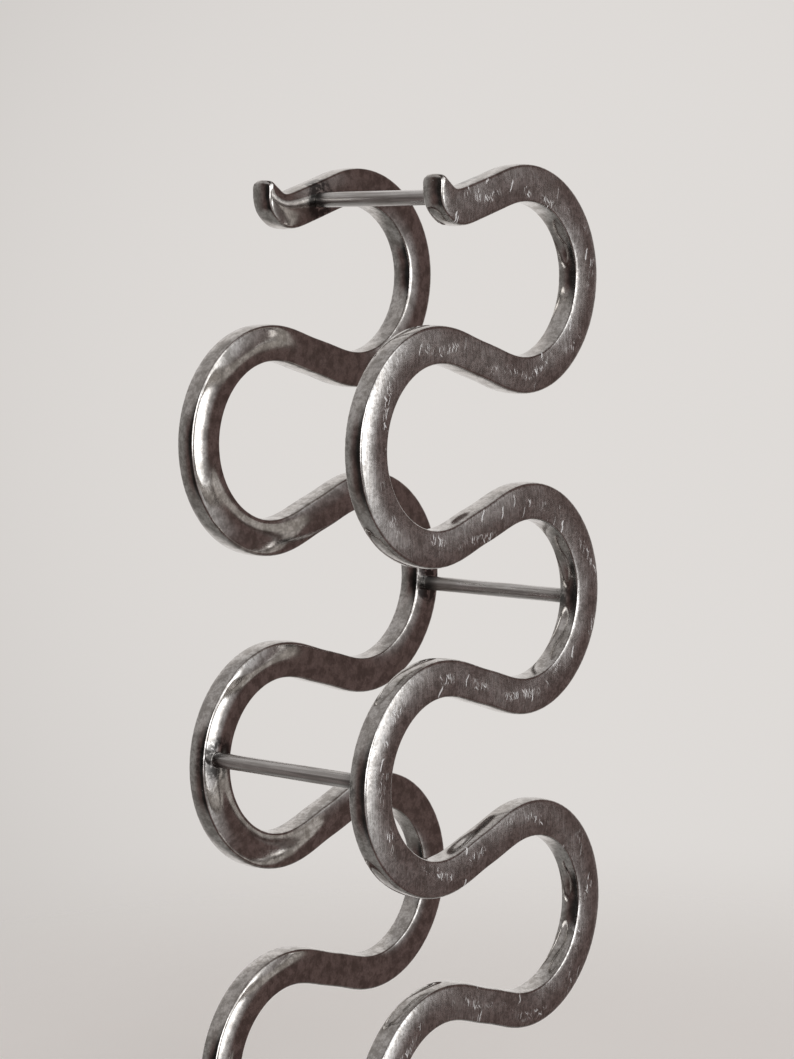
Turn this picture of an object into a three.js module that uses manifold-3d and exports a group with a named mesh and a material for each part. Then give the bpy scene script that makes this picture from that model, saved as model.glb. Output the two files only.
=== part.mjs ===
// Serpentine wine rack: two wave-shaped aluminium side frames joined by four round tie rods.
// Millimetres, +Z up. Bottles lie along Y, one in each loop of the wave. Origin: floor, centre of the rack.
import * as THREE from "three";
import { mergeVertices } from "three/addons/utils/BufferGeometryUtils.js";
import Module from "manifold-3d";

// Wave: one period holds two loops, one opening to each side.
const PERIOD = 200;
const LOOPS = 6;
const SWING = { first: 84.4, third: 17.6, fifth: 1.8 };  // sideways amplitudes of the harmonics
const FOLD = { second: 35.8, fourth: 6.9 };              // up-and-down amplitudes of the harmonics
const END_LOOP_SQUASH = 0.93;                            // outer half of the first and last loop is flatter
const STEPS_PER_LOOP = 24;

// Bar section
const BAR_WIDTH = 23.7;          // mean width, seen from the front
const WIDTH_SWELL = 0.8;         // wider by this much at the side of a loop, narrower in the slanted stretches
const BAR_THICKNESS = 16;        // along Y
const EDGE_RADIUS = 2;

// Curled ends, placed from the centre of the end loop
const HEEL = { x: -20.3, z: 51.2, radius: 21.4 };   // outer curve under the curl
const HEEL_END = -74;                               // degrees, where the heel runs into the bar's lower edge
const NOTCH = { x: -25, z: 52.4, fillet: 3 };     // inside corner of the curl
const TIP_X = -38.7;
const LIP_TIP = { z: 61.6, radius: 2.6 };
const FOOT_TIP_RADIUS = 4;
const BAR_START = 1.2;           // radians of the wave past the middle of the end loop
const FOOT_TRIM = 1;             // depth of the flats that the rack stands on

// Assembly
const FRAME_SPACING = 132;       // between the same faces of the two frames
const TWIST = 1.2;               // degrees that one frame is turned from the other about Y
const ROD_DIAMETER = 9.5;
const SOCKET_DEPTH = 8;
const CLEARANCE = 0.3;
const END_ROD = { x: 2, z: 298.5 };       // from the middle of the rack
const MIDDLE_ROD = { x: 103.5, z: 43 };

const vec = (x, z) => new THREE.Vector2(x, z);
const endLoopCentre = PERIOD * (LOOPS - 1) / 4;
const endLoopPhase = Math.PI * (LOOPS - 1) / 2;
const endPhase = endLoopPhase + BAR_START;

// Centre line of the bar at phase s, measured from the middle of the rack and running downwards.
function centreLine(s) {
  const x = -SWING.first * Math.sin(s) + SWING.third * Math.sin(3 * s) - SWING.fifth * Math.sin(5 * s);
  let z = -PERIOD * s / (2 * Math.PI) + FOLD.second * Math.sin(2 * s) - FOLD.fourth * Math.sin(4 * s);
  if (Math.abs(s) > endLoopPhase) {
    const past = Math.abs(z) - endLoopCentre;
    z = Math.sign(z) * (endLoopCentre + END_LOOP_SQUASH * past);
  }
  return vec(x, z);
}

// Edge of the bar: side is +1 for the left of the direction of travel, -1 for the right.
function edgePoint(s, side) {
  const step = 1e-3;
  const along = centreLine(s + step).sub(centreLine(s - step)).normalize();
  const width = BAR_WIDTH - WIDTH_SWELL * Math.cos(2 * s);
  return centreLine(s).add(vec(-along.y, along.x).multiplyScalar(side * width / 2));
}

function edge(side) {
  const steps = Math.round(2 * endPhase / Math.PI * STEPS_PER_LOOP);
  return Array.from({ length: steps + 1 }, (_, i) => edgePoint(-endPhase + 2 * endPhase * i / steps, side));
}

function arc(x, z, radius, fromDegrees, toDegrees, steps) {
  return Array.from({ length: steps + 1 }, (_, i) => {
    const angle = THREE.MathUtils.degToRad(fromDegrees + (toDegrees - fromDegrees) * i / steps);
    return vec(x + radius * Math.cos(angle), z + radius * Math.sin(angle));
  });
}

// Curled end at the top, from the bar's lower edge round the heel and over the tip to its upper edge.
function curledEnd(tip, barUpperEdge) {
  const tipCentre = vec(TIP_X, tip.z - tip.radius);
  const notch = vec(NOTCH.x, NOTCH.z);
  const slope = notch.clone().sub(tipCentre);
  const innerNormal = THREE.MathUtils.radToDeg(slope.angle()) - 360 + 90;
  const over = arc(tipCentre.x, tipCentre.y, tip.radius, 175, innerNormal, 6);
  const intoNotch = over.at(-1).clone().sub(notch).setLength(NOTCH.fillet).add(notch);
  const outOfNotch = barUpperEdge.clone().sub(notch).setLength(NOTCH.fillet).add(notch);
  return [
    ...arc(HEEL.x, HEEL.z, HEEL.radius, HEEL_END, -180, 14),
    ...over,
    ...new THREE.QuadraticBezierCurve(intoNotch, notch, outOfNotch).getPoints(4),
  ];
}

// Closed outline of a side frame in its own plane. The wave and its ends have half-turn symmetry, except that the
// bottom curl reaches down to the level of the lowest loop, so that it serves as a foot.
function frameOutline() {
  const left = edge(1);
  const right = edge(-1).reverse();
  const raise = (p) => vec(p.x, p.y + endLoopCentre);
  const halfTurn = (p) => vec(-p.x, -p.y);
  const barUpperEdge = left[0].clone().sub(vec(0, endLoopCentre));
  const footLevel = Math.max(...left.map((p) => p.y)) - endLoopCentre;
  const foot = { z: footLevel, radius: FOOT_TIP_RADIUS };
  const top = curledEnd(LIP_TIP, barUpperEdge).map(raise);
  const bottom = curledEnd(foot, barUpperEdge).map(raise).map(halfTurn);
  return [...left, ...bottom, ...right, ...top];
}

const outline = frameOutline();
const floorLevel = Math.min(...outline.map((p) => p.y)) + FOOT_TRIM;

// Booleans
const wasm = await Module();
wasm.setup();

function toSolid(geometry) {
  const bare = geometry.clone();
  bare.deleteAttribute("normal");
  bare.deleteAttribute("uv");
  const merged = mergeVertices(bare, 1e-4);
  return new wasm.Manifold(new wasm.Mesh({
    numProp: 3,
    vertProperties: merged.attributes.position.array,
    triVerts: new Uint32Array(merged.index.array),
  }));
}

function toGeometry(solid) {
  const mesh = solid.getMesh();
  const geometry = new THREE.BufferGeometry();
  geometry.setAttribute("position", new THREE.BufferAttribute(mesh.vertProperties, 3));
  geometry.setIndex(new THREE.BufferAttribute(mesh.triVerts, 1));
  geometry.computeVertexNormals();
  return geometry;
}

// Cuts tools, given in the rack's coordinates, out of a placed mesh.
function cutAway(mesh, tools) {
  mesh.updateMatrix();
  const intoMesh = mesh.matrix.clone().invert();
  const cut = tools.reduce(
    (solid, tool) => solid.subtract(toSolid(tool.clone().applyMatrix4(intoMesh))),
    toSolid(mesh.geometry),
  );
  mesh.geometry = toGeometry(cut);
}

// Tie rods, symmetric about the middle of the rack
const rodPlaces = {
  top_tie_rod: vec(END_ROD.x, END_ROD.z),
  upper_tie_rod: vec(MIDDLE_ROD.x, MIDDLE_ROD.z),
  lower_tie_rod: vec(-MIDDLE_ROD.x, -MIDDLE_ROD.z),
  bottom_tie_rod: vec(-END_ROD.x, -END_ROD.z),
};
const clearGap = FRAME_SPACING - BAR_THICKNESS;

function makeRod(name, place) {
  const radius = ROD_DIAMETER / 2;
  const half = clearGap / 2 + SOCKET_DEPTH - CLEARANCE;
  const chamfer = 0.6;
  const profile = [
    vec(0, -half), vec(radius - chamfer, -half), vec(radius, -half + chamfer),
    vec(radius, half - chamfer), vec(radius - chamfer, half), vec(0, half),
  ];
  const material = new THREE.MeshStandardMaterial({ color: 0x7d7875, metalness: 1, roughness: 0.4 });
  const rod = new THREE.Mesh(new THREE.LatheGeometry(profile, 28), material);
  rod.name = name;
  rod.position.set(place.x, 0, place.y);
  return rod;
}

// Blind sockets for all the rods, in the inner face of the frame on the given side (-1 front, +1 rear)
function socketTools(side) {
  return Object.values(rodPlaces).map((place) => {
    const overrun = 1;
    const radius = ROD_DIAMETER / 2 + CLEARANCE;
    const socket = new THREE.CylinderGeometry(radius, radius, SOCKET_DEPTH + overrun, 28);
    return socket.translate(place.x, side * (clearGap + SOCKET_DEPTH - overrun) / 2, place.y);
  });
}

function floorTool() {
  const size = 2 * PERIOD;
  return new THREE.BoxGeometry(size, size, size).translate(0, 0, floorLevel - size / 2);
}

function makeFrame(name, side) {
  const geometry = new THREE.ExtrudeGeometry(new THREE.Shape(outline), {
    depth: BAR_THICKNESS - 2 * EDGE_RADIUS,
    bevelThickness: EDGE_RADIUS,
    bevelSize: EDGE_RADIUS,
    bevelOffset: -EDGE_RADIUS,
    bevelSegments: 1,
  });
  geometry.translate(0, 0, EDGE_RADIUS - BAR_THICKNESS / 2).rotateX(Math.PI / 2);
  const material = new THREE.MeshStandardMaterial({ color: 0x6b6361, metalness: 1, roughness: 0.35 });
  const frame = new THREE.Mesh(geometry, material);
  frame.name = name;
  frame.position.y = side * FRAME_SPACING / 2;
  frame.rotation.y = -side * THREE.MathUtils.degToRad(TWIST / 2);
  cutAway(frame, [...socketTools(side), floorTool()]);
  return frame;
}

const rack = new THREE.Group();
rack.position.z = -floorLevel;
rack.add(makeFrame("front_frame", -1), makeFrame("rear_frame", 1));
for (const [name, place] of Object.entries(rodPlaces)) {
  rack.add(makeRod(name, place));
}

const part = new THREE.Group();
part.add(rack);
export default part;
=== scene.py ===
"""Looks of the serpentine wine rack: hand-ground aluminium bars, satin tie rods, pale studio. Metres, +Z up.

The bars follow the CAD's wave and curled ends. Their section is rounder, with crowned faces and soft edges.
"""

import math

import bmesh
import bpy
import numpy as np
from mathutils import Matrix, Vector, noise


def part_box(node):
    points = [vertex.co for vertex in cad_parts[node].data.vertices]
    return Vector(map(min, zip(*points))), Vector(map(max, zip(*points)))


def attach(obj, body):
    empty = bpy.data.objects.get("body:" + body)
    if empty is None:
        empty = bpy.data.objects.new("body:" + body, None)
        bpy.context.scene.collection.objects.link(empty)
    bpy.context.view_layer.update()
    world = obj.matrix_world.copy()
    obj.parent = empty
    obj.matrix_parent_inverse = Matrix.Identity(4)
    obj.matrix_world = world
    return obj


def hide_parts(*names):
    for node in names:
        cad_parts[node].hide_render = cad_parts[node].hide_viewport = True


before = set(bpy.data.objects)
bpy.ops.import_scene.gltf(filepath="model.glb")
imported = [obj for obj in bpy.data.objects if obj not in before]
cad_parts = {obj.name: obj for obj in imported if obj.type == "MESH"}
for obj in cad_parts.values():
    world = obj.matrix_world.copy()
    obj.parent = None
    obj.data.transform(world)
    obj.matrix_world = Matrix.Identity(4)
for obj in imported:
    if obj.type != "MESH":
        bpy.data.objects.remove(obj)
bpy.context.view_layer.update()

MM = 0.001
FRONT, REAR = -1, 1              # directions along Y, of a side frame and of a bar's two broad faces


def grey(value, warmth=0.0):
    """Colour of a grey that leans to red and away from blue by warmth."""
    return (value * (1 + warmth), value, value * (1 - warmth), 1)


def box_facts(node):
    """Centre and size of a CAD node's box."""
    low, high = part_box(node)
    return (low + high) / 2, high - low


# Tie rods, from the CAD
ROD_NODES = ("top_tie_rod", "upper_tie_rod", "lower_tie_rod", "bottom_tie_rod")
RODS = {node: box_facts(node) for node in ROD_NODES}
RACK_MIDDLE_Z = (RODS["upper_tie_rod"][0].z + RODS["lower_tie_rod"][0].z) / 2
ROD_SHRINK = 0.02 * MM           # keeps the turned rods inside the CAD's
ROD_CHAMFER = 0.6 * MM
ROD_WANDER = 0.004               # greatest loss of radius along a rod, as a share of it
ROD_WANDER_LENGTH = 20 * MM

# Sockets for the rods
SOCKET_GAP = 0.15 * MM           # all round a rod
SOCKET_CHAMFER = 0.3 * MM
SOCKET_DEPTH = 8 * MM
CUTTER_OVERRUN = 5 * MM

# Wave of the bar, as in the CAD: phase in radians from the middle of the rack
PERIOD = 200 * MM
LOOPS = 6
SWING = {"first": 84.4 * MM, "third": 17.6 * MM, "fifth": 1.8 * MM}  # sideways amplitudes of the harmonics
FOLD = {"second": 35.8 * MM, "fourth": 6.9 * MM}                    # up-and-down amplitudes
END_LOOP_SQUASH = 0.93
BAR_WIDTH = 23.7 * MM
WIDTH_SWELL = 0.8 * MM
BAR_START = 1.2                  # radians of the wave past the middle of the end loop
END_LOOP_CENTRE = PERIOD * (LOOPS - 1) / 4
END_LOOP_PHASE = math.pi * (LOOPS - 1) / 2
END_PHASE = END_LOOP_PHASE + BAR_START
TWIST = math.radians(1.2)        # that one frame is turned from the other about Y

# Curled ends, from the centre of the end loop
HEEL_CENTRE = np.array([-20.3, 51.2]) * MM
HEEL_RADIUS = 21.4 * MM
HEEL_END = math.radians(-74)
HEEL_SPLIT = math.radians(-150)  # the heel up to here belongs to the lip, and the rest to the bar
NOTCH = np.array([-25, 52.4]) * MM
NOTCH_FILLET = 3 * MM
TIP_X = -38.7 * MM
TIP_OUTER_TURN = math.radians(175)
LIP_TIP_Z = 61.6 * MM
LIP_TIP_RADIUS = 2.6 * MM
FOOT_TIP_RADIUS = 4 * MM

# Hand-ground section: every face is crowned, and an edge is rounder on the outside of a loop than inside it
EDGE_REACH = 2.2 * MM            # of the rounding over the broad face
EDGE_REACH_SWING = 0.9 * MM      # more than that on the outside of a loop, and less on the inside
EDGE_DEPTH = 1.6 * MM            # of the rounding down the side face
FACE_TILT = math.radians(7.5)    # of a broad face where it meets its rounded edge
FACE_TILT_SWING = math.radians(5.5)   # more than that on the outside of a loop
CROWN_POWER = 1.8                # of the distance from the middle line, by which a broad face falls away
SIDE_TILT = math.radians(9)      # of a side face where it meets its rounded edges
SIDE_HALF = 5.5 * MM             # half of the side face's depth, roughly
END_ROUNDING = 3.5 * MM          # of the corners between the tip of a curl and the broad faces
GRINDING = 0.13 * MM             # depth of the waviness that grinding by hand has left
GRINDING_LENGTH = 24 * MM
FINE_GRINDING = 0.3              # depth of the finer waves on it, as a share
FINE_GRINDING_RATE = 2.7         # how many times shorter they are
GRINDING_SEED = 7.3
OUTER_FROM, OUTER_TO = 0.3, 0.8  # shares of the half depth between which the outer face's looks set in
JOINT_SHADE_REACH = 12 * MM            # of the painted shade round the end of a rod

# Mesh density and smoothing
ARC_POINTS = 25
FILLET_POINTS = 9
RIBS_PER_LOOP = 80
RIBS_IN_TIP = 7
RIBS_IN_LIP = 16
RIBS_IN_HEEL = 18
FACE_STEPS = 12
CORNER_STEPS = 5
SIDE_STEPS = 5
ROD_SIDES = 48
ROD_RINGS = 25
JOINT_RIBS = 6                   # ribs of the wave that are smoothed together with a curled end
JOINT_SMOOTHING = 6              # times
OUTSIDE_SMOOTHING = 60           # times
MERGE_DISTANCE = 0.01 * MM
SHARP_ANGLE = math.radians(40)

# Frame metal: colours, and noise scales in patterns per metre
POLISHED, DULL = grey(0.74, 0.02), grey(0.66, 0.04)
CLOUDED, MOTTLED = grey(0.36, 0.06), grey(0.28, 0.06)
BRUSHED, HAZED, SCRATCHED = grey(0.84, 0.01), grey(0.76, 0.01), grey(0.92)
# Painted shade on the bars' inner faces round the rod ends, standing in for the rod's dark reflection and
# contact shadow
PAINTED_JOINT_SHADE = grey(0.12, 0.03)
BLOTCH_SCALE, CLOUD_SCALE, MOTTLE_SCALE, STROKE_SCALE = 30, 150, 520, 1100
HAZE_SCALE, NICK_SCALE, SCUFF_BEND_SCALE, ROW_PLACE_SCALE, ROW_SCALE = 36, 210, 120, 14, 31
UPRIGHT = (1, 1, 0.06)           # stretches brush strokes along Z

# Scuffs on the outer faces: slant in degrees, distance apart, length, share of places that have one, seed
STEEP_SCUFFS = (12, 1.5 * MM, 8 * MM, 0.9, 3)
SLANTED_SCUFFS = (-38, 1.9 * MM, 6 * MM, 0.4, 11)
STRAY_SCUFFS = (18, 2.3 * MM, 12 * MM, 0.03, 5)

# Rod metal, in the same way
DRAWN_LIGHT, DRAWN_DARK = grey(0.80, 0.01), grey(0.50, 0.03)
# The second colour is painted shade on a rod's ends, next to the frames
ROD_STAINED, ROD_END_SHADE = grey(0.45, 0.05), grey(0.16, 0.03)
STREAK_SCALE, ROD_STAIN_SCALE, SPOT_SCALE = 900, 60, 700
LENGTHWISE, HALF_LENGTHWISE = (1, 0.02, 1), (1, 0.5, 1)    # stretch streaks and stains along Y
ROD_SHADE_FROM, ROD_SHADE_TO = 44 * MM, 58 * MM              # from the middle, where painted shade darkens a rod towards its end, next to the frames

BUMP_DEPTH = 0.1 * MM

# The photo's camera: place, turn and lens
CAMERA_PLACE = Vector((-1.2745, -1.0848, 0.6040))
CAMERA_YAW = math.radians(49.65)      # of the view direction, from +Y towards +X
CAMERA_PITCH = math.radians(6.60)     # downwards
CAMERA_ROLL = math.radians(-1.04)
CAMERA_LENS = 91.63                   # in millimetres, as the sensor's width is
CAMERA_SENSOR = 36

# Studio
BACKDROP = (0.735, 0.708, 0.685, 1)
BACKDROP_SHADE = (0.50, 0.475, 0.455, 1)
BACKDROP_PLACE = (35, -4, 4, 24)      # of its bright middle, as in ROOM_PATCHES
FLOOR_RADIUS = 1.0
FLOOR_SIDES = 96
FLOOR_FADE = (0.3, 0.95)              # shares of the radius where it starts to fade and where it is gone
FLOOR_DROP = 0.2 * MM
FLOOR_PAPER = (0.80, 0.78, 0.76, 1)
FLOOR_GLOW = (0.24, 0.23, 0.22, 1)
ROOM = (0.112, 0.077, 0.071, 1)

# What the metal mirrors of the room, each patch over the ones before it: azimuth from +X towards +Y and
# elevation, the angles from there within which it is full and beyond which it is gone, all in degrees, and
# its colour
ROOM_PATCHES = (
    (170, -38, 14, 32, (0.02, 0.019, 0.018, 1)),     # dark strip on the -X side
    (170, 0, 14, 32, (0.02, 0.019, 0.018, 1)),
    (170, 38, 14, 32, (0.02, 0.019, 0.018, 1)),
    (100, 0, 26, 46, (0.27, 0.26, 0.25, 1)),         # behind the rack: grey, paler above
    (100, 60, 30, 60, (0.42, 0.40, 0.39, 1)),
    (60, -60, 35, 60, (0.24, 0.23, 0.22, 1)),        # floor
    (45, 0, 24, 62, (0.76, 0.73, 0.71, 1)),          # backdrop
    (265, 10, 28, 54, (0.80, 0.80, 0.80, 1)),        # bright wall in front of the rack, with a dim gap
    (261, -8, 14, 28, (0.33, 0.31, 0.30, 1)),
    (239, 12, 16, 24, (2.8, 2.8, 2.8, 1)),           # three soft lights
    (282, 26, 10, 19, (1.7, 1.7, 1.7, 1)),
    (288, 2, 10, 17, (2.9, 2.9, 2.9, 1)),
)


# ---------------------------------------------------------------- outline of the bar

def centre_line(s):
    x = -SWING["first"] * np.sin(s) + SWING["third"] * np.sin(3 * s) - SWING["fifth"] * np.sin(5 * s)
    z = -PERIOD * s / (2 * math.pi) + FOLD["second"] * np.sin(2 * s) - FOLD["fourth"] * np.sin(4 * s)
    past = np.abs(z) - END_LOOP_CENTRE
    squashed = np.sign(z) * (END_LOOP_CENTRE + END_LOOP_SQUASH * past)
    return np.stack([x, np.where(np.abs(s) > END_LOOP_PHASE, squashed, z)], 1)


def wave_edge(s, side):
    """Edge of the bar: side is 1 for the left of the way along it, which is down, and -1 for the right."""
    step = 1e-3
    along = centre_line(s + step) - centre_line(s - step)
    along /= np.linalg.norm(along, axis=1, keepdims=True)
    width = BAR_WIDTH - WIDTH_SWELL * np.cos(2 * s)
    return centre_line(s) + np.stack([-along[:, 1], along[:, 0]], 1) * (side * width / 2)[:, None]


def arc(centre, radius, start, end):
    angle = np.linspace(start, end, ARC_POINTS)
    return centre + radius * np.stack([np.cos(angle), np.sin(angle)], 1)


def path_run(points):
    """Distance along a path at each of its points."""
    return np.concatenate([[0], np.cumsum(np.linalg.norm(np.diff(points, axis=0), axis=1))])


def resample(points, count):
    """count points evenly spaced on a path, its last point left out."""
    run = path_run(points)
    at = np.linspace(0, run[-1], count + 1)[:-1]
    return np.stack([np.interp(at, run, points[:, i]) for i in range(2)], 1)


def rounded_corner(before, corner, after, reach):
    """Curve that takes a corner off, from reach before it to reach after it."""
    start = corner + (before - corner) * reach / np.linalg.norm(before - corner)
    end = corner + (after - corner) * reach / np.linalg.norm(after - corner)
    t = np.linspace(0, 1, FILLET_POINTS)[:, None]
    return start * (1 - t) ** 2 + corner * 2 * t * (1 - t) + end * t ** 2


def curl(tip_z, tip_radius, bar_lower, bar_upper):
    """Outer and inner edge of a curled end from the apex of its tip to the bar, with as many points each."""
    tip = np.array([TIP_X, tip_z - tip_radius])
    slope = NOTCH - tip
    tip_inner_turn = math.atan2(slope[1], slope[0]) + math.pi / 2
    apex = (tip_inner_turn + TIP_OUTER_TURN) / 2
    heel_to_lip = arc(HEEL_CENTRE, HEEL_RADIUS, -math.pi, HEEL_SPLIT)
    heel_to_bar = arc(HEEL_CENTRE, HEEL_RADIUS, HEEL_SPLIT, HEEL_END)
    outer_tip = arc(tip, tip_radius, apex, TIP_OUTER_TURN)
    inner_tip = arc(tip, tip_radius, apex, tip_inner_turn)
    notch = rounded_corner(inner_tip[-1], NOTCH, bar_upper, NOTCH_FILLET)
    middle = len(notch) // 2
    outer = [(outer_tip, RIBS_IN_TIP),
             (np.vstack([outer_tip[-1:], heel_to_lip]), RIBS_IN_LIP),
             (np.vstack([heel_to_bar, bar_lower]), RIBS_IN_HEEL)]
    inner = [(inner_tip, RIBS_IN_TIP),
             (np.vstack([inner_tip[-1:], notch[:middle + 1]]), RIBS_IN_LIP),
             (np.vstack([notch[middle:], bar_upper]), RIBS_IN_HEEL)]
    return [np.vstack([resample(path, ribs) for path, ribs in edge]) for edge in (outer, inner)]


def smoothed(values, times):
    """Running average along a path whose two ends stay."""
    values = values.copy()
    for _ in range(times):
        values[1:-1] = (values[:-2] + 2 * values[1:-1] + values[2:]) / 4
    return values


def bar_edges():
    """Left and right edge of the whole bar, from the tip of the lip to the tip of the foot."""
    phases = np.linspace(-END_PHASE, END_PHASE, round(2 * END_PHASE / math.pi * RIBS_PER_LOOP) + 1)
    left, right = wave_edge(phases, 1), wave_edge(phases, -1)
    to_end_loop = np.array([0, END_LOOP_CENTRE])
    upper, lower = left[0] - to_end_loop, right[0] - to_end_loop
    foot_tip_z = left[:, 1].max() - END_LOOP_CENTRE
    lip_outer, lip_inner = curl(LIP_TIP_Z, LIP_TIP_RADIUS, lower, upper)
    foot_outer, foot_inner = curl(foot_tip_z, FOOT_TIP_RADIUS, lower, upper)

    def joined(top, middle, bottom):
        path = np.vstack([top + to_end_loop, middle, -(bottom + to_end_loop)[::-1]])
        from_tip, to_wave = 2 * RIBS_IN_TIP, len(top) + JOINT_RIBS
        for joint in (slice(from_tip, to_wave), slice(-to_wave, -from_tip)):
            path[joint] = smoothed(path[joint], JOINT_SMOOTHING)
        return path

    def outside(side):
        at_curl = np.zeros(len(lip_outer))
        return smoothed(np.concatenate([at_curl, -side * np.sin(phases), at_curl]), OUTSIDE_SMOOTHING)

    return (Edge(joined(lip_inner, left, foot_outer), 1, outside(1)),
            Edge(joined(lip_outer, right, foot_inner), -1, outside(-1)))


class Edge:
    """One edge of the bar: its line in the frame's plane, and how it is rounded along it.

    side is 1 for the left edge and -1 for the right. outside is 1 on the outside of a loop and -1 inside it.
    The rounding is an arc of an ellipse, reach by depth, and runs smoothly into both faces.
    """

    def __init__(self, line, side, outside):
        along = np.gradient(line, axis=0)
        along /= np.linalg.norm(along, axis=1, keepdims=True)
        self.line = line
        self.place = -side               # across the bar, as in section_rings
        self.inward = side * np.stack([along[:, 1], -along[:, 0]], 1)
        self.reach = EDGE_REACH + EDGE_REACH_SWING * outside
        self.depth = EDGE_DEPTH
        self.tilt = FACE_TILT + FACE_TILT_SWING * np.clip(outside, 0, 1)
        self.first_turn = np.arctan(np.tan(self.tilt) * self.reach / self.depth)
        self.last_turn = np.arctan(np.tan(math.pi / 2 - SIDE_TILT) * self.reach / self.depth)
        self.inset = math.tan(SIDE_TILT) * SIDE_HALF / 2
        flat_from = self.inset + self.reach * (1 - np.sin(self.first_turn))
        self.flat_line = line + self.inward * flat_from[:, None]

    def crown(self, half_face):
        """How far the broad face has fallen away where it meets the rounded edge."""
        return np.tan(self.tilt) * half_face / CROWN_POWER


# ---------------------------------------------------------------- meshes

def section_rings(left, right, half_depth):
    """Sections of all the ribs as (ribs, points, 3), and two values for each of their points.

    A section starts on the front left edge and runs over the front face (-Y), the right side, the back and
    the left side. The first value is 1 at the top of a rounded edge and 0 on a face. The second is the place
    across the bar, from -1 at the left to 1 at the right.
    """
    half_face = np.linalg.norm(right.flat_line - left.flat_line, axis=1) / 2
    columns, edgeness, across = [], [], []

    def put(points, y, place, worn=0.0):
        columns.append(np.column_stack([points[:, 0], y, points[:, 1]]))
        edgeness.append(np.full(len(y), worn))
        across.append(np.full(len(y), float(place)))

    def corner(edge, facing, outwards):
        drop = edge.crown(half_face)
        steps = np.linspace(0, 1, CORNER_STEPS + 1)
        for step in steps if outwards else steps[::-1]:
            turn = edge.first_turn * (1 - step) + edge.last_turn * step
            inset = edge.inset + edge.reach * (1 - np.sin(turn))
            y = half_depth - drop - edge.depth * (np.cos(edge.first_turn) - np.cos(turn))
            put(edge.line + edge.inward * inset[:, None], facing * y, edge.place, math.sin(math.pi * step))

    def face(first, second, facing):
        for u in np.linspace(-1, 1, FACE_STEPS + 1)[1:-1]:
            edge = first if u < 0 else second
            points = first.flat_line * (1 - u) / 2 + second.flat_line * (1 + u) / 2
            y = half_depth - edge.crown(half_face) * abs(u) ** CROWN_POWER
            put(points, facing * y, first.place * (1 - u) / 2 + second.place * (1 + u) / 2)

    def side_face(edge, facing):
        rounding = edge.depth * (np.cos(edge.first_turn) - np.cos(edge.last_turn))
        side_half = half_depth - edge.crown(half_face) - rounding
        for v in np.linspace(-1, 1, SIDE_STEPS + 1)[1:-1]:
            bulge = edge.inset * v * v
            put(edge.line + edge.inward * bulge, facing * -v * side_half, edge.place)

    corner(left, FRONT, outwards=False)
    face(left, right, FRONT)
    corner(right, FRONT, outwards=True)
    side_face(right, FRONT)
    corner(right, REAR, outwards=False)
    face(right, left, REAR)
    corner(left, REAR, outwards=True)
    side_face(left, REAR)
    return np.stack(columns, 1), np.stack(edgeness, 1), np.stack(across, 1)


def grind(mesh, seed):
    """Lays shallow hand-ground waviness over a surface, always inwards, so that nothing grows."""
    places = np.array([vertex.co for vertex in mesh.vertices])
    normals = np.array([vertex.normal for vertex in mesh.vertices])
    depths = []
    for place in places:
        at = Vector(place) / GRINDING_LENGTH + Vector((seed, 0, 0))
        wave = noise.noise(at) + FINE_GRINDING * noise.noise(at * FINE_GRINDING_RATE)
        depths.append(GRINDING * (1 + wave) / 2)
    mesh.vertices.foreach_set("co", (places - normals * np.array(depths)[:, None]).ravel())


def paint_joint_shade(rings, placing, side):
    """Painted shade on a bar's inner face round the ends of its rods: 1 at the rod, fading away within the
    reach that is set for it above.
    """
    placed = rings @ np.array(placing.to_3x3()).T + np.array(placing.translation)
    joint_shade = np.zeros(rings.shape[:2])
    for centre, size in RODS.values():
        away = np.hypot(placed[:, :, 0] - centre.x, placed[:, :, 2] - centre.z) - size.x / 2
        joint_shade = np.maximum(joint_shade, np.clip(1 - away / JOINT_SHADE_REACH, 0, 1))
    return joint_shade * (side * rings[:, :, 1] < 0)


def bar_mesh(name, side, middle, half_depth):
    """Side frame's bar as a closed loft of ribs. middle is its centre, and side is FRONT or REAR."""
    left, right = bar_edges()
    along = path_run((left.line + right.line) / 2)
    from_end = np.clip(np.minimum(along, along[-1] - along), 0, END_ROUNDING)
    rounded_off = END_ROUNDING - np.sqrt(END_ROUNDING ** 2 - (END_ROUNDING - from_end) ** 2)
    rings, worn, across = section_rings(left, right, half_depth - rounded_off)
    ribs, count, _ = rings.shape
    placing = Matrix.Translation(middle) @ Matrix.Rotation(-side * TWIST / 2, 4, "Y")
    outwards = side * rings[:, :, 1] / half_depth

    mesh = bpy.data.meshes.new(name)
    index = np.arange(ribs * count).reshape(ribs, count)
    ahead, beside = index[1:], np.roll(index, -1, axis=1)
    quads = np.stack([index[:-1], ahead, beside[1:], beside[:-1]], -1).reshape(-1, 4)
    caps = [index[0].tolist(), index[-1][::-1].tolist()]
    mesh.from_pydata(rings.reshape(-1, 3).tolist(), [], quads.tolist() + caps)
    point_values = {
        "worn_edge": worn,
        "outer_face": np.clip((outwards - OUTER_FROM) / (OUTER_TO - OUTER_FROM), 0, 1),
        "bar_across": across,
        # painted shade round the rod ends
        "joint_shade": paint_joint_shade(rings, placing, side),
        "bar_along": np.repeat(along[:, None], count, 1),
    }
    for label, values in point_values.items():
        mesh.attributes.new(label, "FLOAT", "POINT").data.foreach_set("value", values.ravel())

    bm = bmesh.new()
    bm.from_mesh(mesh)
    bmesh.ops.remove_doubles(bm, verts=bm.verts, dist=MERGE_DISTANCE)
    bmesh.ops.recalc_face_normals(bm, faces=bm.faces)
    bm.to_mesh(mesh)
    bm.free()
    grind(mesh, GRINDING_SEED * side)
    mesh.transform(placing)
    # The flats that the rack stands on
    for vertex in mesh.vertices:
        vertex.co.z = max(vertex.co.z, 0)
    return mesh


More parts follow.
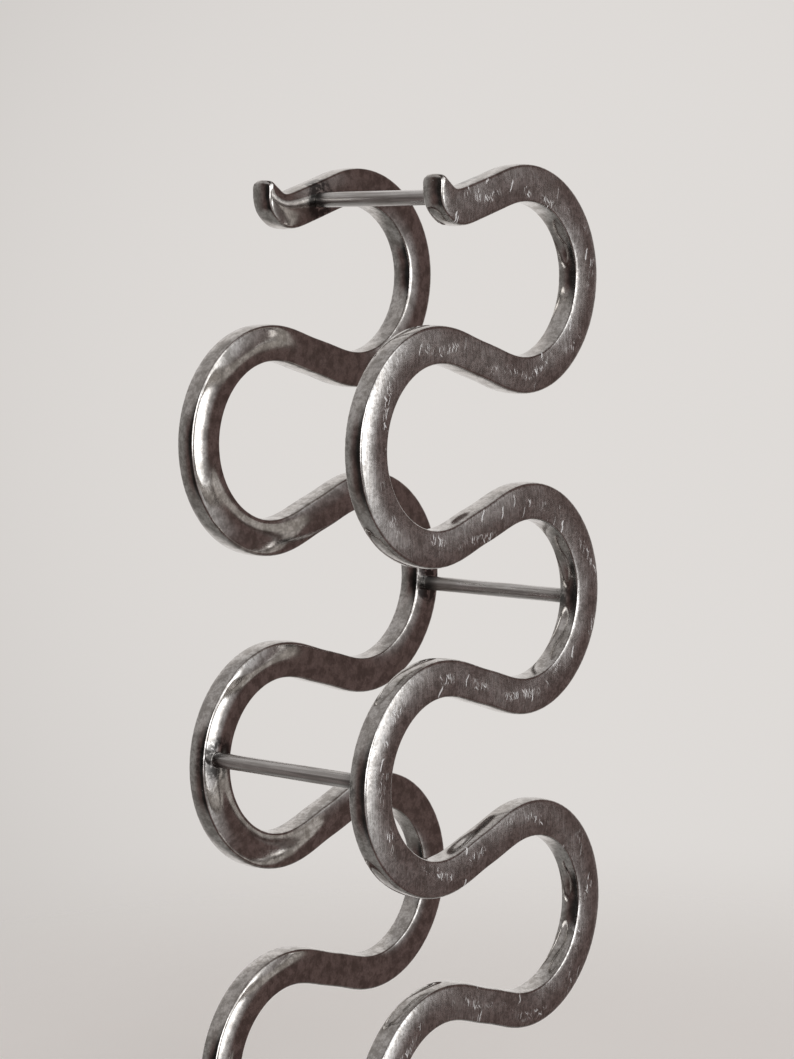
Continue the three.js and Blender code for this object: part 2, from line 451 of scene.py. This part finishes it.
def lathe(name, profile, axis_x, axis_z):
    """Closed turned piece about a line parallel to Y; profile is a list of (y, radius)."""
    bm = bmesh.new()
    rings = []
    for y, radius in profile:
        ring = []
        for i in range(ROD_SIDES):
            angle = 2 * math.pi * i / ROD_SIDES
            place = (axis_x + radius * math.cos(angle), y, axis_z + radius * math.sin(angle))
            ring.append(bm.verts.new(place))
        rings.append(ring)
    for near, far in zip(rings, rings[1:]):
        for i in range(ROD_SIDES):
            following = (i + 1) % ROD_SIDES
            bm.faces.new((near[i], near[following], far[following], far[i]))
    bm.faces.new(rings[0])
    bm.faces.new(rings[-1][::-1])
    bmesh.ops.recalc_face_normals(bm, faces=bm.faces)
    mesh = bpy.data.meshes.new(name)
    bm.to_mesh(mesh)
    bm.free()
    return mesh


def add_object(mesh, material=None):
    obj = bpy.data.objects.new(mesh.name, mesh)
    bpy.context.scene.collection.objects.link(obj)
    if material:
        mesh.materials.append(material)
    return obj


def smooth_shading(mesh):
    mesh.shade_smooth()
    mesh.set_sharp_from_angle(angle=SHARP_ANGLE)


def cut_sockets(bar, cutters):
    for cutter in cutters:
        change = bar.modifiers.new("socket", "BOOLEAN")
        change.operation = "DIFFERENCE"
        change.solver = "MANIFOLD"
        change.object = cutter
    bpy.context.view_layer.update()
    cut = bpy.data.meshes.new_from_object(bar.evaluated_get(bpy.context.evaluated_depsgraph_get()))
    bar.modifiers.clear()
    plain, bar.data = bar.data, cut
    bpy.data.meshes.remove(plain)
    cut.name = bar.name
    for cutter in cutters:
        bpy.data.objects.remove(cutter)


def make_bar(node, side, material):
    centre, size = box_facts(node)
    middle = Vector((0, centre.y, RACK_MIDDLE_Z))
    bar = add_object(bar_mesh(node + "_bar", side, middle, size.y / 2))
    inner_face = centre.y - side * size.y / 2
    cutters = []
    for rod_centre, rod_size in RODS.values():
        radius = rod_size.x / 2 + SOCKET_GAP
        # A cone of 45 degrees, which leaves the chamfer, and then the socket
        profile = [(inner_face - side * CUTTER_OVERRUN, radius + SOCKET_CHAMFER + CUTTER_OVERRUN),
                   (inner_face + side * SOCKET_CHAMFER, radius),
                   (inner_face + side * SOCKET_DEPTH, radius)]
        cutters.append(add_object(lathe("cutter", profile, rod_centre.x, rod_centre.z)))
    cut_sockets(bar, cutters)
    smooth_shading(bar.data)
    bar.data.materials.clear()
    bar.data.materials.append(material)
    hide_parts(node)
    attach(bar, "root")


def make_rod(node, material):
    centre, size = RODS[node]
    radius, half = size.x / 2 - ROD_SHRINK, size.y / 2

    def drawn_radius(y):
        wander = noise.noise(Vector((y / ROD_WANDER_LENGTH, centre.x, 0)))
        return radius * (1 - ROD_WANDER * (1 + wander) / 2)

    lengths = np.linspace(-half + ROD_CHAMFER, half - ROD_CHAMFER, ROD_RINGS)
    profile = [(centre.y - half, radius - ROD_CHAMFER)]
    profile += [(centre.y + y, drawn_radius(y)) for y in lengths]
    profile += [(centre.y + half, radius - ROD_CHAMFER)]
    rod = add_object(lathe(node.replace("tie_", ""), profile, centre.x, centre.z), material)
    smooth_shading(rod.data)
    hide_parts(node)
    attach(rod, "root")


# ---------------------------------------------------------------- materials

class Shader:
    """Short names for the nodes that the materials and the world are made of."""

    def __init__(self, tree):
        self.tree = tree
        tree.nodes.clear()

    def node(self, kind, inputs=None, **settings):
        made = self.tree.nodes.new(kind)
        for key, value in settings.items():
            setattr(made, key, value)
        for key, value in (inputs or {}).items():
            self.give(made.inputs[key], value)
        return made

    def give(self, socket, value):
        if isinstance(value, bpy.types.NodeSocket):
            self.tree.links.new(value, socket)
        else:
            socket.default_value = value

    def math(self, operation, *values, clamp=False):
        made = self.node("ShaderNodeMath", dict(enumerate(values)), operation=operation, use_clamp=clamp)
        return made.outputs[0]

    def plus(self, total, *others):
        for other in others:
            total = self.math("ADD", total, other)
        return total

    def times(self, first, second, clamp=False):
        return self.math("MULTIPLY", first, second, clamp=clamp)

    def rise(self, value, low, high, to_low=0.0, to_high=1.0):
        """Smooth step from to_low, where value is low, to to_high, where it is high."""
        made = self.node("ShaderNodeMapRange",
                         {"Value": value, "From Min": low, "From Max": high,
                          "To Min": to_low, "To Max": to_high},
                         interpolation_type="SMOOTHSTEP")
        return made.outputs["Result"]

    def place(self):
        return self.node("ShaderNodeTexCoord").outputs["Object"]

    def vector(self, x, y=0.0):
        return self.node("ShaderNodeCombineXYZ", {"X": x, "Y": y}).outputs[0]

    def parts(self, vector):
        return self.node("ShaderNodeSeparateXYZ", {0: vector}).outputs

    def stretched(self, vector, scale):
        return self.node("ShaderNodeMapping", {"Vector": vector, "Scale": scale}).outputs[0]

    def noise(self, vector, scale, detail=3, roughness=0.5, distortion=0.0):
        """Noise that lies mostly between 0.3 and 0.7."""
        made = self.node("ShaderNodeTexNoise", {"Vector": vector, "Scale": scale, "Detail": detail,
                                                "Roughness": roughness, "Distortion": distortion})
        return made.outputs["Fac"]

    def attribute(self, name):
        return self.node("ShaderNodeAttribute", attribute_name=name).outputs["Fac"]

    def colour_mix(self, factor, first, second):
        made = self.node("ShaderNodeMix", data_type="RGBA")
        colours = [socket for socket in made.inputs if socket.type == "RGBA"]
        self.give(made.inputs[0], factor)
        self.give(colours[0], first)
        self.give(colours[1], second)
        return next(socket for socket in made.outputs if socket.type == "RGBA")

    def metal_surface(self, colour, roughness, height, bump_strength):
        bump = self.node("ShaderNodeBump", {"Height": height, "Strength": bump_strength,
                                            "Distance": BUMP_DEPTH}).outputs[0]
        metal = self.node("ShaderNodeBsdfPrincipled", {"Base Color": colour, "Metallic": 1.0,
                                                       "Roughness": roughness, "Normal": bump})
        self.node("ShaderNodeOutputMaterial", {"Surface": metal.outputs[0]})


def new_material(name):
    """Empty node material and the Shader that fills it."""
    material = bpy.data.materials.new(name)
    material.use_nodes = True
    return material, Shader(material.node_tree)


def scuffs(s, front, slant, gap, length, share, seed):
    """Short parallel scuffs on the broad faces, one in each cell of a grid that a share of the cells has."""
    turned = s.node("ShaderNodeVectorRotate", {"Vector": front, "Angle": math.radians(slant)},
                    rotation_type="Z_AXIS").outputs[0]
    at = s.parts(turned)
    bend = s.rise(s.noise(turned, SCUFF_BEND_SCALE, detail=1), 0.3, 0.7, -0.4, 0.4)
    column = s.plus(s.times(at["X"], 1 / gap), s.plus(bend, seed))
    number = s.math("FLOOR", column)
    shift = s.node("ShaderNodeTexWhiteNoise", {"W": number}, noise_dimensions="1D").outputs["Value"]
    row = s.plus(s.times(at["Y"], 1 / length), shift)
    cell = s.vector(number, s.math("FLOOR", row))
    pick = s.node("ShaderNodeTexWhiteNoise", {"Vector": cell}, noise_dimensions="2D").outputs["Value"]
    near_line = s.rise(s.math("PINGPONG", column, 0.5), 0.22, 0.40)
    near_middle = s.rise(s.math("PINGPONG", row, 0.5), 0.12, 0.30)
    return s.times(s.times(near_line, near_middle), s.rise(pick, 1 - share, 1.0, 0.0, 1.3))


def handling_marks(s, place, along, across, outer):
    """Scuffs in wandering rows along the outer faces, a few stray ones, and small nicks everywhere."""
    xyz = s.parts(place)
    front = s.vector(xyz["X"], xyz["Z"])
    run = s.vector(along)
    row_place = s.rise(s.noise(run, ROW_PLACE_SCALE, detail=1), 0.3, 0.7, -0.9, 0.9)
    from_row = s.math("ABSOLUTE", s.math("SUBTRACT", across, row_place))
    rows = s.times(s.rise(from_row, 0.42, 0.14), s.rise(s.noise(run, ROW_SCALE, detail=2), 0.46, 0.58))
    in_rows = s.math("MAXIMUM", scuffs(s, front, *STEEP_SCUFFS), scuffs(s, front, *SLANTED_SCUFFS))
    scuffed = s.math("MAXIMUM", s.times(in_rows, rows), scuffs(s, front, *STRAY_SCUFFS))
    cells = s.node("ShaderNodeTexVoronoi", {"Vector": place, "Scale": NICK_SCALE})
    pick = s.node("ShaderNodeSeparateColor", {0: cells.outputs["Color"]}).outputs[1]
    nicks = s.times(s.rise(cells.outputs["Distance"], 0.12, 0.05), s.rise(pick, 0.84, 0.86))
    return s.math("MAXIMUM", s.times(s.times(scuffed, outer), 0.85), s.times(nicks, 0.6))


def frame_metal():
    """Polished cast aluminium: clean inner faces, brushed and scuffed outer ones, painted shade round the
    rods.
    """
    material, s = new_material("ground_aluminium")
    place = s.place()
    along, across = s.attribute("bar_along"), s.attribute("bar_across")
    worn, outer = s.attribute("worn_edge"), s.attribute("outer_face")
    rolled_out = s.vector(along, s.times(across, BAR_WIDTH / 2))

    blotches = s.noise(place, BLOTCH_SCALE, detail=4, roughness=0.55, distortion=0.4)
    cloud = s.noise(place, CLOUD_SCALE, detail=5, roughness=0.7)
    mottle = s.noise(place, MOTTLE_SCALE, detail=3, roughness=0.65)
    stroke = s.noise(s.stretched(place, UPRIGHT), STROKE_SCALE, detail=3, roughness=0.6)
    haze = s.times(s.rise(s.noise(rolled_out, HAZE_SCALE, detail=4), 0.35, 0.75), outer)
    haze = s.times(haze, s.rise(stroke, 0.3, 0.75, 0.35, 1.0))
    mottling = s.times(s.rise(mottle, 0.46, 0.62), s.rise(outer, 0, 1, 0.35, 0.8))
    brushing = s.times(s.rise(stroke, 0.5, 0.66), s.rise(outer, 0, 1, 0.1, 0.5))
    # Painted shade round the rod ends, broken up by cloud noise
    joint_shade = s.times(s.attribute("joint_shade"), s.rise(cloud, 0.35, 0.6, 0.4, 1.8), clamp=True)
    marks = handling_marks(s, place, along, across, outer)

    colour = s.colour_mix(s.rise(blotches, 0.35, 0.68), POLISHED, DULL)
    colour = s.colour_mix(s.rise(cloud, 0.40, 0.62, 0.0, 0.9), colour, CLOUDED)
    colour = s.colour_mix(mottling, colour, MOTTLED)
    colour = s.colour_mix(brushing, colour, BRUSHED)
    # darkens the colour with the painted shade round the rods
    colour = s.colour_mix(s.rise(joint_shade, 0.1, 0.9), colour, PAINTED_JOINT_SHADE)
    colour = s.colour_mix(s.times(haze, 0.4), colour, HAZED)
    colour = s.colour_mix(marks, colour, SCRATCHED)

    roughness = s.plus(s.rise(blotches, 0.3, 0.7, 0.07, 0.11),
                       s.rise(mottle, 0.4, 0.8, 0.0, 0.03),
                       s.times(outer, s.rise(worn, 0, 1, 0.14, 0.02)),
                       s.times(haze, 0.10),
                       s.times(marks, 0.55))
    height = s.plus(s.times(stroke, s.times(outer, 0.35)), s.times(mottle, s.rise(outer, 0, 1, 0.1, 0.6)))
    s.metal_surface(colour, roughness, s.math("SUBTRACT", height, marks), bump_strength=0.2)
    return material


def rod_metal():
    """Drawn aluminium: streaks along the rod, soft stains, and painted shade at the ends."""
    material, s = new_material("satin_rod")
    place = s.place()
    streaks = s.noise(s.stretched(place, LENGTHWISE), STREAK_SCALE, detail=4, roughness=0.6)
    stains = s.noise(s.stretched(place, HALF_LENGTHWISE), ROD_STAIN_SCALE, detail=4)
    spots = s.noise(place, SPOT_SCALE, detail=3)
    from_middle = s.math("ABSOLUTE", s.parts(place)["Y"])
    # Painted shade on the last part of a rod before the frames, broken up by the stain noise
    painted_end_shade = s.times(s.rise(from_middle, ROD_SHADE_FROM, ROD_SHADE_TO), s.rise(stains, 0.3, 0.6, 0.5, 1.0))

    colour = s.colour_mix(s.rise(streaks, 0.42, 0.62), DRAWN_LIGHT, DRAWN_DARK)
    colour = s.colour_mix(s.rise(stains, 0.45, 0.75), colour, ROD_STAINED)
    colour = s.colour_mix(painted_end_shade, colour, ROD_END_SHADE)
    roughness = s.plus(s.rise(stains, 0.35, 0.7, 0.24, 0.36), s.rise(streaks, 0.4, 0.7, 0.0, 0.08))
    s.metal_surface(colour, roughness, s.plus(streaks, s.times(spots, 0.3)), bump_strength=0.3)
    return material


# ---------------------------------------------------------------- studio

def compass(azimuth, elevation):
    """Unit vector of a direction in degrees, its azimuth from +X towards +Y."""
    a, e = math.radians(azimuth), math.radians(elevation)
    return Vector((math.cos(a) * math.cos(e), math.sin(a) * math.cos(e), math.sin(e)))


def make_camera():
    camera = bpy.data.objects.new("camera", bpy.data.cameras.new("camera"))
    bpy.context.scene.collection.objects.link(camera)
    camera.data.lens = CAMERA_LENS
    camera.data.sensor_width = CAMERA_SENSOR
    forward = Vector((math.sin(CAMERA_YAW) * math.cos(CAMERA_PITCH),
                      math.cos(CAMERA_YAW) * math.cos(CAMERA_PITCH), -math.sin(CAMERA_PITCH)))
    right = Vector((math.cos(CAMERA_YAW), -math.sin(CAMERA_YAW), 0))
    up = right.cross(forward)
    rolled_right = right * math.cos(CAMERA_ROLL) + up * math.sin(CAMERA_ROLL)
    rolled_up = -right * math.sin(CAMERA_ROLL) + up * math.cos(CAMERA_ROLL)
    turn = Matrix((rolled_right, rolled_up, -forward)).transposed()
    camera.matrix_world = Matrix.Translation(CAMERA_PLACE) @ turn.to_4x4()
    bpy.context.scene.camera = camera


def make_world():
    """The studio that the metal mirrors, in soft patches of light. The camera sees a plain backdrop."""
    world = bpy.data.worlds.new("studio")
    bpy.context.scene.world = world
    world.use_nodes = True
    s = Shader(world.node_tree)
    direction = s.node("ShaderNodeTexCoord").outputs["Generated"]

    def patch(below, azimuth, elevation, full, gone, colour):
        towards = {0: direction, 1: compass(azimuth, elevation)}
        cosine = s.node("ShaderNodeVectorMath", towards, operation="DOT_PRODUCT").outputs["Value"]
        strength = s.rise(cosine, math.cos(math.radians(gone)), math.cos(math.radians(full)))
        return s.colour_mix(strength, below, colour)

    room = ROOM
    for row in ROOM_PATCHES:
        room = patch(room, *row)
    seen = patch(BACKDROP_SHADE, *BACKDROP_PLACE, BACKDROP)
    to_camera = s.node("ShaderNodeLightPath").outputs["Is Camera Ray"]
    colour = s.colour_mix(to_camera, room, seen)
    background = s.node("ShaderNodeBackground", {"Color": colour}).outputs[0]
    s.node("ShaderNodeOutputWorld", {"Surface": background})


def make_floor():
    """Pale disc under the rack that fades into the backdrop. The metal mirrors the studio instead of it."""
    bm = bmesh.new()
    bmesh.ops.create_circle(bm, cap_ends=True, segments=FLOOR_SIDES, radius=FLOOR_RADIUS)
    mesh = bpy.data.meshes.new("floor")
    bm.to_mesh(mesh)
    bm.free()
    material, s = new_material("pale_floor")
    distance = s.node("ShaderNodeVectorMath", {0: s.place()}, operation="LENGTH").outputs["Value"]
    away = s.rise(distance, *(share * FLOOR_RADIUS for share in FLOOR_FADE))
    lit = s.node("ShaderNodeBsdfDiffuse", {"Color": FLOOR_PAPER}).outputs[0]
    glow = s.node("ShaderNodeEmission", {"Color": FLOOR_GLOW}).outputs[0]
    paper = s.node("ShaderNodeAddShader", {0: lit, 1: glow}).outputs[0]
    clear = s.node("ShaderNodeBsdfTransparent").outputs[0]
    mixed = s.node("ShaderNodeMixShader", {0: away, 1: paper, 2: clear}).outputs[0]
    s.node("ShaderNodeOutputMaterial", {"Surface": mixed})
    floor = add_object(mesh, material)
    floor.location.z = -FLOOR_DROP
    floor.visible_glossy = False


make_camera()
make_world()
make_floor()
bar_metal, satin = frame_metal(), rod_metal()
make_bar("front_frame", FRONT, bar_metal)
make_bar("rear_frame", REAR, bar_metal)
for rod_node in ROD_NODES:
    make_rod(rod_node, satin)
bpy.context.scene.view_settings.view_transform = "Standard"
